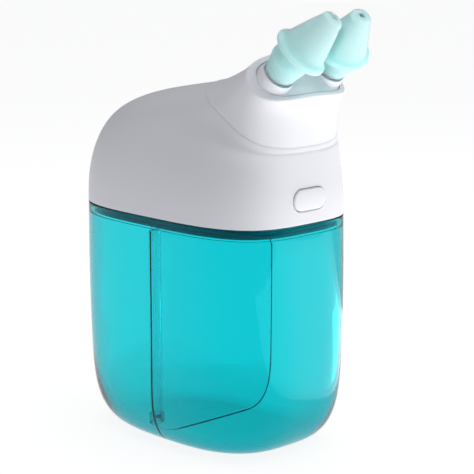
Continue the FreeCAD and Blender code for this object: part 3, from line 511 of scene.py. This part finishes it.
MATERIALS = {
    "white_plastic": white_plastic(),
    "clear_teal_plastic": clear_teal(),
    "aqua_silicone": soft_aqua(),
    "teal_silicone": plain("teal_silicone", (0.0, 0.085, 0.12), 0.4),
    "clear_silicone": plain("clear_silicone", (0.80, 0.86, 0.86), 0.35, Transmission_Weight=0.6, IOR=1.41),
    "black_rubber": plain("black_rubber", (0.02, 0.02, 0.02), 0.6),
    "black_plastic": plain("black_plastic", (0.03, 0.03, 0.032), 0.45),
    "grey_plastic": plain("grey_plastic", (0.30, 0.31, 0.33), 0.5),
    "acetal": plain("acetal", (0.78, 0.76, 0.70), 0.35),
    "green_board": plain("green_board", (0.015, 0.11, 0.05), 0.3, scale=400),
    "cell_sleeve": plain("cell_sleeve", (0.02, 0.09, 0.32), 0.25),
    "screw_steel": plain("screw_steel", (0.62, 0.62, 0.64), 0.3, metallic=1.0),
    "motor_steel": plain("motor_steel", (0.66, 0.66, 0.68), 0.28, metallic=1.0),
    "copper_winding": plain("copper_winding", (0.72, 0.30, 0.12), 0.35, metallic=1.0, scale=2500),
}


def finish_piece(piece, body, slot, node):
    piece.data.materials.clear()
    piece.data.materials.append(MATERIALS[slot])
    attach(piece, body)
    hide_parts(node)


# ---------------------------------------------------------------- tank

def tank_reach(level, inset=0.0, floor=0.0):
    """Half width, half depth and squareness of the tank's plan at a level."""
    rise = max(level - floor, 0.0)
    share = rise / TANK_TOP
    pulls = []
    for reach, height in (SIDE_FOOT, END_FOOT):
        left = 1 - min(rise / height, 1)
        pulls.append(reach * (1 - (1 - left ** FOOT_SQUARENESS) ** (1 / FOOT_SQUARENESS)))
    bulge = END_BULGE * math.sin(math.pi * share)
    squareness = BASE_SQUARENESS + (RIM_SQUARENESS - BASE_SQUARENESS) * share
    return HALF_WIDTH - pulls[0] - inset, HALF_DEPTH + bulge - pulls[1] - inset, squareness


def foot_levels(floor):
    """Levels through the rounded foot, close together near the floor."""
    power, crowding = 2 / FOOT_SQUARENESS, 1.2
    turns = [math.pi / 2 * (step / FOOT_STEPS) ** crowding for step in range(FOOT_STEPS + 1)]
    return [floor + END_FOOT[1] * (1 - max(math.cos(turn), 0.0) ** power) for turn in turns]


def half_arc(half_width, half_depth, squareness, start_y, side):
    """Wall points of one compartment, from +X round to -X, for |y| at least start_y."""
    def reach(turn):
        across, along = np.abs(np.cos(turn)), np.abs(np.sin(turn))
        return (across ** squareness + along ** squareness) ** (-1 / squareness)

    low, high = 0.0, math.pi / 2
    for _ in range(40):
        middle = (low + high) / 2
        if half_depth * math.sin(middle) * reach(middle) < start_y:
            low = middle
        else:
            high = middle
    turn = np.linspace(low, math.pi - low, ARC_STEPS + 1)
    x = half_width * np.cos(turn) * reach(turn)
    return np.stack([x, side * half_depth * np.sin(turn) * reach(turn)], 1)


def inner_line(half_width, offset, side):
    """Partition side of one compartment, from -X to +X, with a rounded corner at each end."""
    corner = PARTITION_CORNER
    bend = [
        (corner * (1 - cosine), offset + corner * (1 - sine)) for cosine, sine in quarter(CORNER_STEPS, 0)
    ]
    inner = np.linspace(-half_width + corner, half_width - corner, LINE_STEPS + 2)[1:-1]
    points = [(-half_width + pull, y) for pull, y in bend]
    points += [(x, offset) for x in inner]
    points += [(half_width - pull, y) for pull, y in bend[::-1]]
    return np.array([(x, side * y) for x, y in points])


def tank_ring(level, inset=0.0):
    """One ring of the tank's skin, with a few points across each end of the partition."""
    half_width, half_depth, squareness = tank_reach(level, inset)
    start = PARTITION_HALF + PARTITION_CORNER
    front = half_arc(half_width, half_depth, squareness, start, -1)
    rear = half_arc(half_width, half_depth, squareness, start, 1)[::-1]
    cross = np.linspace(-start, start, CROSS_STEPS + 1)[1:-1]
    left = np.stack([np.full(len(cross), -half_width), cross], 1)
    right = np.stack([np.full(len(cross), half_width), cross[::-1]], 1)
    return at_level(np.concatenate([front, left, rear, right]), level)


def crest_level(y):
    """The partition's rounded top."""
    edge = np.clip(np.abs(y) - (PARTITION_HALF - PARTITION_ROUND), 0, PARTITION_ROUND)
    return JOIN_LEVEL + np.sqrt(np.clip(PARTITION_ROUND ** 2 - edge ** 2, 0, None))


def tank_skin():
    """Rings from under the foot, up the outside, over the rolled rim and down past the ledge."""
    rings = [tank_ring(level) for level in foot_levels(0.0)]
    rings = cap_rings(rings[0], FOOT_CAP_SHARES)[::-1] + rings
    rings += [tank_ring(level) for level in np.linspace(END_FOOT[1], TANK_TOP - TANK_RIM, 14)[1:]]
    for cosine, sine in quarter(4):
        rings.append(tank_ring(TANK_TOP - TANK_RIM + TANK_RIM * sine, TANK_RIM * (1 - cosine)))
    for cosine, sine in quarter(4, 0):
        rings.append(tank_ring(TANK_TOP - TANK_RIM * (1 - cosine), WALL - TANK_RIM + TANK_RIM * sine))
    for level in np.linspace(TANK_TOP - TANK_RIM, LEDGE_LEVEL + LEDGE_ROUND, 4)[1:]:
        rings.append(tank_ring(level, WALL))
    for cosine, sine in quarter(4):
        rings.append(tank_ring(LEDGE_LEVEL + LEDGE_ROUND * (1 - sine), WALL + LEDGE_WIDTH * (1 - cosine) / 2))
    for cosine, sine in quarter(4):
        rings.append(tank_ring(LEDGE_LEVEL - LEDGE_ROUND * (1 - cosine), WALL + LEDGE_WIDTH * (1 + sine) / 2))
    rings.append(tank_ring(SKIN_END, CHAMBER_INSET))
    last = tank_ring(JOIN_LEVEL, CHAMBER_INSET)
    arc, cross = ARC_STEPS + 1, CROSS_STEPS - 1
    for begin in (arc, 2 * arc + cross):
        last[begin:begin + cross, 2] = crest_level(last[begin:begin + cross, 1])
    return rings + [last]


def partition_top(first):
    """Points and faces of the partition's top, numbered from first."""
    half_width = tank_reach(JOIN_LEVEL, CHAMBER_INSET)[0]
    fronts, rears = (inner_line(half_width, PARTITION_HALF, side) for side in (-1, 1))
    points, faces = [], []
    for front, rear in zip(fronts, rears):
        for step in range(CROSS_STEPS + 1):
            share = step / CROSS_STEPS
            x, y = front * (1 - share) + rear * share
            points.append((x, y, JOIN_LEVEL if step in (0, CROSS_STEPS) else crest_level(y)))
    row = CROSS_STEPS + 1
    for column in range(len(fronts) - 1):
        for step in range(CROSS_STEPS):
            near = first + column * row + step
            faces.append((near, near + row, near + row + 1, near + 1))
    return np.array(points), faces


def compartment(side):
    """Rings down the inside of one compartment, onto its rounded floor."""
    levels = list(np.linspace(JOIN_LEVEL, FLOOR_WALL + END_FOOT[1], 10)[:-1]) + foot_levels(FLOOR_WALL)[::-1]
    rings = []
    for level in levels:
        floor = FLOOR_WALL if level < JOIN_LEVEL else 0.0
        half_width, half_depth, squareness = tank_reach(level, CHAMBER_INSET, floor)
        rise = min((level - FLOOR_WALL) / CHAMBER_FILLET, 1)
        offset = PARTITION_HALF + CHAMBER_FILLET * (1 - math.sqrt(max(0.0, 1 - (1 - rise) ** 2)))
        wall = half_arc(half_width, half_depth, squareness, offset + PARTITION_CORNER, side)
        line = inner_line(half_width, offset, side)
        rings.append(at_level(np.concatenate([wall, line[1:-1]]), level))
    return rings + cap_rings(rings[-1], FOOT_CAP_SHARES)


def make_tank():
    """One clear moulding: outer skin, rolled rim, and two compartments either side of the partition."""
    skin = tank_skin()
    count = len(skin[0])
    total = len(skin) * count
    points = [np.concatenate(skin)]
    faces = ring_faces(len(skin), count)
    faces.append(tuple(range(count)))
    top_points, top_faces = partition_top(total)
    points.append(top_points)
    faces += top_faces
    total += len(top_points)
    for side in (-1, 1):
        rings = compartment(side)
        size = len(rings[0])
        points.append(np.concatenate(rings))
        faces += ring_faces(len(rings), size, total)
        total += len(rings) * size
        faces.append(tuple(range(total - size, total)))
    piece = new_object("clear_tank", np.concatenate(points), faces)
    sharpen(piece, 50)
    finish_piece(piece, "tank", "clear_teal_plastic", "water_tank")


# ---------------------------------------------------------------- head, dock and nose pieces

def make_head():
    """White casing from the seam up to the parting line, with a window for the button."""
    end = HEAD_KNOTS[PARTING]
    outer = head_rings(np.linspace(0, end, 110))
    bottom = rounded_rim(outer[0], np.array([0, 0, -1.0]), CASING_EDGE)[::-1]
    top = rounded_rim(outer[-1], section_normal(PARTING), CASING_EDGE)
    inner = head_rings(np.linspace(end, 0, 40), HEAD_WALL)
    piece = ring_object("head_casing", bottom + outer[2:-2] + top + inner, closed=True)
    window = [
        (y * MM, BUTTON_HALF_LENGTH + wider * MM + WINDOW_GAP, BUTTON_RADIUS + wider * MM + WINDOW_GAP)
        for y, wider in WINDOW_FLARE
    ]
    cut_out(piece, ring_object("cutter", slot_rings(window, WINDOW_LEVEL)))
    sharpen(piece, 40)
    finish_piece(piece, "head", "white_plastic", "head_shell")


def neck_rings(start):
    """Rings up the dock's neck, ending a rim's radius below the crowned platform all the way round."""
    where = np.linspace(start, 1, 90)
    dense = np.array(head_rings(where))
    columns = np.arange(RING_POINTS)
    ends = np.ones(RING_POINTS)
    for column in columns:
        away = dense[:, column] - PLATFORM_CENTRE
        height = away @ NORMAL + crown_drop(away[:, 0]) + DOCK_RIM
        first = np.where((height[:-1] < 0) & (height[1:] >= 0))[0][-1]
        share = -height[first] / (height[first + 1] - height[first])
        ends[column] = where[first] + share * (where[first + 1] - where[first])
    rings = []
    for step in range(NECK_STEPS + 1):
        position = (start + (ends - start) * (step / NECK_STEPS) - where[0]) / (where[1] - where[0])
        index = np.clip(position.astype(int), 0, len(where) - 2)
        blend = (position - index)[:, None]
        rings.append(dense[index, columns] * (1 - blend) + dense[index + 1, columns] * blend)
    return rings


def make_dock():
    """White nozzle dock: a waisted neck with a rolled rim round a crowned platform."""
    start = HEAD_KNOTS[PARTING]
    gap = section_normal(PARTING) * DOCK_SEAM
    neck = neck_rings(start)
    outer = rounded_rim(neck[0] + gap, -section_normal(PARTING), DOCK_EDGE)[::-1] + neck[2:]
    last = outer[-1]
    side = inward(last, NORMAL)
    for cosine, sine in quarter(8):
        outer.append(last + side * DOCK_RIM * (1 - cosine) + NORMAL * DOCK_RIM * sine)
    outer += [plate_ring(*row) for row in WELL_EDGE]
    outer += plate_net(WELL, WELL_DEPTH, (0.75, 0.5, 0.25))
    inner = head_rings(np.linspace(start, DOCK_CEILING, 30), HEAD_WALL)
    inner[0] = inner[0] + gap
    inner += cap_rings(inner[-1])
    count = RING_POINTS
    middle, total = len(outer) * count, (len(outer) + len(inner)) * count
    faces = ring_faces(len(outer), count)
    faces.append(tuple(range(middle - count, middle)))
    faces += ring_faces(len(inner), count, middle)
    faces.append(tuple(range(total - count, total)))
    faces += [(step, (step + 1) % count, middle + (step + 1) % count, middle + step) for step in range(count)]
    piece = new_object("nozzle_dock", np.concatenate(outer + inner), faces)
    sharpen(piece, 40)
    finish_piece(piece, "dock", "white_plastic", "dock_shell")


def make_plate():
    """White plate that lies in the platform's well, with a rounded edge."""
    rings = plate_net(PLATE_NET, PLATE_BACK, (0.3, 0.7))
    rings += [plate_ring(*PLATE, PLATE_BACK), plate_ring(*PLATE, PLATE_FACE + PLATE_ROUND)]
    for cosine, sine in quarter(4):
        pull = PLATE_ROUND * (1 - cosine)
        rings.append(plate_ring(PLATE[0] - pull, PLATE[1] - pull, PLATE_FACE + PLATE_ROUND * (1 - sine)))
    rings += plate_net(PLATE_NET, PLATE_FACE, (0.8, 0.55, 0.3))
    piece = ring_object("platform_plate_face", rings)
    sharpen(piece, 40)
    finish_piece(piece, "dock", "white_plastic", "platform_plate")


def make_spigots():
    """Two tubes through the platform. Each rises from a low mound with a shallow cup in it."""
    across, along = circle(SPIGOT_POINTS)
    for label, side in (("left", -1), ("right", 1)):
        rings = [
            to_world(side * SPIGOT_PITCH + across * radius * MM, along * radius * MM, level * MM)
            for level, radius in SPIGOT_PROFILE
        ]
        piece = ring_object(f"{label}_spigot", rings, closed=True)
        sharpen(piece, 35)
        finish_piece(piece, "dock", "white_plastic", f"spigot_{label}")


def collar_radius(level):
    share = min((level - COLLAR_LOW) / (COLLAR_HIGH - COLLAR_LOW), 1)
    return COLLAR_NARROW + (COLLAR_WIDE - COLLAR_NARROW) * share


def nose_rows(rise):
    """A nose piece's wall: up the outside to the tip, and down the inside to the spigot."""
    rows = COLLAR_FOOT + [(COLLAR, level, collar_radius(level)) for level in COLLAR_PLAIN]
    for ridge in COLLAR_RIDGES:
        for step, depth in RIDGE_PROFILE:
            rows.append((COLLAR, ridge + step, collar_radius(ridge + step) - depth))
    rows += COLLAR_NECK
    bead, rim = FLANGE_BEAD, FLANGE_RADIUS - FLANGE_BEAD
    for turn in np.radians((-100, -85, -70)):
        rows.append((CONE, bead * math.sin(turn), rim + bead * math.cos(turn) * UNDERCUT_SHARE - UNDERCUT))
    for turn in np.radians(range(-62, 91, 12)):
        rows.append((CONE, bead * math.sin(turn), rim + bead * math.cos(turn)))
    low, high = bead + CONE_STEP, rise - TIP_DOME
    for share in (0.06, 0.15, 0.3, 0.45, 0.6, 0.75, 0.88, 1.0):
        swell = CONE_SWELL * math.sin(math.pi * share)
        rows.append((CONE, low + (high - low) * share, CONE_FOOT + (CONE_TIP - CONE_FOOT) * share + swell))
    for turn in np.radians(range(15, 76, 15)):
        radius = TIP_FLAT + (CONE_TIP - TIP_FLAT) * math.cos(turn)
        rows.append((CONE, high + TIP_DOME * math.sin(turn), radius))
    rows += [(CONE, rise - drop, radius) for drop, radius in TIP_OPENING]
    for share in (1.0, 0.7, 0.4, 0.1):
        rows.append((CONE, bead + (high - bead) * share, INNER_FOOT + (INNER_TIP - INNER_FOOT) * share))
    return rows + INNER_THROAT


def make_nose_pieces():
    """Soft nose pieces: a ridged collar, a rolled flange with a step under it, and a leaning cone."""
    lean = math.atan2(FLANGE_X - TIP_X, TIP_LEVEL - FLANGE_LEVEL)
    rows = nose_rows(math.hypot(FLANGE_X - TIP_X, TIP_LEVEL - FLANGE_LEVEL))
    pitch = SPIGOT_PITCH / MM
    across, along = circle(NOSE_POINTS)
    for label, side in (("left", -1), ("right", 1)):
        rings = []
        for share, level, radius in rows:
            if share == CONE:
                x, middle = FLANGE_X - level * math.sin(lean), FLANGE_LEVEL + level * math.cos(lean)
            else:
                x, middle = pitch + (FLANGE_X - pitch) * share, level
            x = x + across * radius * math.cos(lean * share)
            up = middle + across * radius * math.sin(lean * share)
            rings.append(to_world(side * x * MM, along * radius * MM, up * MM))
        piece = ring_object(f"{label}_nose_piece", rings, closed=True)
        sharpen(piece, 60)
        finish_piece(piece, f"pillow_{label}", "aqua_silicone", f"pillow_{label}")


# ---------------------------------------------------------------- button and gasket

def make_button():
    """White press button with a soft domed face, and a wider shoulder behind the casing."""
    low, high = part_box("power_button")
    face, back = low.y, low.y + BUTTON_REACH
    shoulder = (BUTTON_HALF_LENGTH + BUTTON_SHOULDER, BUTTON_RADIUS + BUTTON_SHOULDER)
    profile = [(high.y, *shoulder), (back, *shoulder), (back, BUTTON_HALF_LENGTH, BUTTON_RADIUS)]
    for cosine, sine in quarter(6, 0):
        pull = BUTTON_EDGE * (1 - cosine)
        y = face + BUTTON_DOME + BUTTON_EDGE * (1 - sine)
        profile.append((y, BUTTON_HALF_LENGTH - pull, BUTTON_RADIUS - pull))
    flat = BUTTON_RADIUS - BUTTON_EDGE
    for share, rise in BUTTON_CROWN:
        half_length = BUTTON_HALF_LENGTH - BUTTON_EDGE - flat * (1 - share)
        profile.append((face + (BUTTON_DOME - rise * MM), half_length, flat * share))
    piece = ring_object("press_button", slot_rings(profile, (low.z + high.z) / 2))
    sharpen(piece, 40)
    finish_piece(piece, "button", "white_plastic", "power_button")


def make_gasket():
    """Dark silicone band on the head's skirt, with two soft lips that seal against the tank."""
    low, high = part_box("tank_gasket")
    outer = WALL + GASKET_CLEARANCE
    inner = outer + GASKET_THICKNESS
    first, span, steps = low.z + 0.25 * MM, high.z - low.z - 0.4 * MM, 16
    profile = [(low.z, outer + 0.7 * MM), (low.z + 0.1 * MM, outer + 0.35 * MM)]
    for share in np.arange(steps + 1) / steps:
        lip = GASKET_LIP * (1 + math.cos(4 * math.pi * share)) / 2
        profile.append((first + share * span, outer + lip))
    profile += [(high.z, outer + 0.5 * MM), (high.z, inner), (low.z, inner)]
    across, along = superellipse(RIM_SQUARENESS)
    rings = [
        at_level(np.stack([across * (HALF_WIDTH - pull), along * (HALF_DEPTH - pull)], 1), level)
        for level, pull in profile
    ]
    piece = ring_object("seal_band", rings, closed=True)
    finish_piece(piece, "head", "teal_silicone", "tank_gasket")


def dress_cad_nodes():
    """Give every CAD piece that stays in view its own material."""
    slots = {entry["node"]: entry["material_slot"] for entry in frame["record"]["subparts"]}
    for name, piece in frame["nodes"].items():
        piece.data.materials.clear()
        piece.data.materials.append(MATERIALS[slots[name]])


# ---------------------------------------------------------------- studio

AIR_COLOUR, AIR_STRENGTH = (0.90, 0.93, 1.0, 1), 0.16
FLOOR_REACH, FLOOR_LEVEL, FLOOR_GLOW = 6, -0.0002, 0.88
MIDDLE = (0, 0, 0.1)

# Soft lights: name, place, target, size, power in watts, and what else is set.
LIGHTS = [
    ("key_high", (0.50, -0.50, 0.95), (0, -0.03, 0.14), (0.5, 0.5), 1.3, {}),
    ("front_top", (0.05, -0.75, 0.85), (0, -0.05, 0.16), (0.5, 0.5), 1.2, {}),
    ("top_soft", (0.05, 0.10, 1.0), MIDDLE, (0.8, 0.8), 2.6, {}),
    ("rim_left", (-0.20, 0.95, 0.85), MIDDLE, (0.3, 0.5), 0.7, {"colour": (0.92, 0.92, 1.0)}),
    ("tip_fill", (-0.45, -0.42, 0.40), (0, -0.082, 0.215), (0.06, 0.06), 0.014, {"spread": 12}),
    # a bright card lying in front of the tank, which its front face mirrors
    ("floor_card", (0.20, -0.36, 0.001), (0.20, -0.36, 1), (0.56, 0.62), 1.6, {"heading": 40}),
]

CAMERA_AZIMUTH, CAMERA_ELEVATION = math.radians(44.32), math.radians(11.85)
CAMERA_DISTANCE = 748.9 * MM
CAMERA_TARGET = Vector((6.46, -8.27, 88.09)) * MM
LENS, SENSOR, CLIP_START = 128.5, 36, 0.05


def add_area(name, place, target, size, power, colour=(1, 1, 1), spread=180, heading=None):
    light = bpy.data.lights.new(name, "AREA")
    light.shape = "RECTANGLE"
    light.size, light.size_y = size
    light.energy = power
    light.color = colour
    light.spread = math.radians(spread)
    lamp = bpy.data.objects.new(name, light)
    bpy.context.scene.collection.objects.link(lamp)
    lamp.location = place
    lamp.rotation_euler = (Vector(target) - Vector(place)).to_track_quat("-Z", "Y").to_euler()
    if heading is not None:
        lamp.rotation_euler.z = math.radians(heading)


def make_studio():
    """A plain pale floor, pale air and soft lights."""
    scene = bpy.context.scene
    scene.view_settings.view_transform = "Standard"
    world = bpy.data.worlds.new("studio_air")
    world.use_nodes = True
    air = world.node_tree.nodes["Background"]
    air.inputs["Color"].default_value = AIR_COLOUR
    air.inputs["Strength"].default_value = AIR_STRENGTH
    scene.world = world

    corners = [(-1, -1), (1, -1), (1, 1), (-1, 1)]
    floor = new_object(
        "studio_floor", [(x * FLOOR_REACH, y * FLOOR_REACH, FLOOR_LEVEL) for x, y in corners], [(0, 1, 2, 3)]
    )
    material, _ = shader(
        "studio_white", Base_Color=(0.3, 0.3, 0.3), Roughness=0.3, IOR=1.2,
        Emission_Color=(1, 1, 1), Emission_Strength=FLOOR_GLOW,
    )
    floor.data.materials.append(material)

    for name, place, target, size, power, rest in LIGHTS:
        add_area(name, place, target, size, power, **rest)


def make_camera():
    """The camera stands off the front left corner, a little above the object, with a long lens."""
    level = math.cos(CAMERA_ELEVATION)
    forward = Vector((
        math.sin(CAMERA_AZIMUTH) * level, math.cos(CAMERA_AZIMUTH) * level, -math.sin(CAMERA_ELEVATION)
    ))
    data = bpy.data.cameras.new("photo_view")
    data.lens = LENS
    data.sensor_width = SENSOR
    data.clip_start = CLIP_START
    camera = bpy.data.objects.new("photo_view", data)
    bpy.context.scene.collection.objects.link(camera)
    camera.location = CAMERA_TARGET - forward * CAMERA_DISTANCE
    camera.rotation_euler = forward.to_track_quat("-Z", "Y").to_euler()
    bpy.context.scene.camera = camera


make_camera()
make_studio()
dress_cad_nodes()
make_tank()
make_head()
make_dock()
make_plate()
make_spigots()
make_nose_pieces()
make_button()
make_gasket()
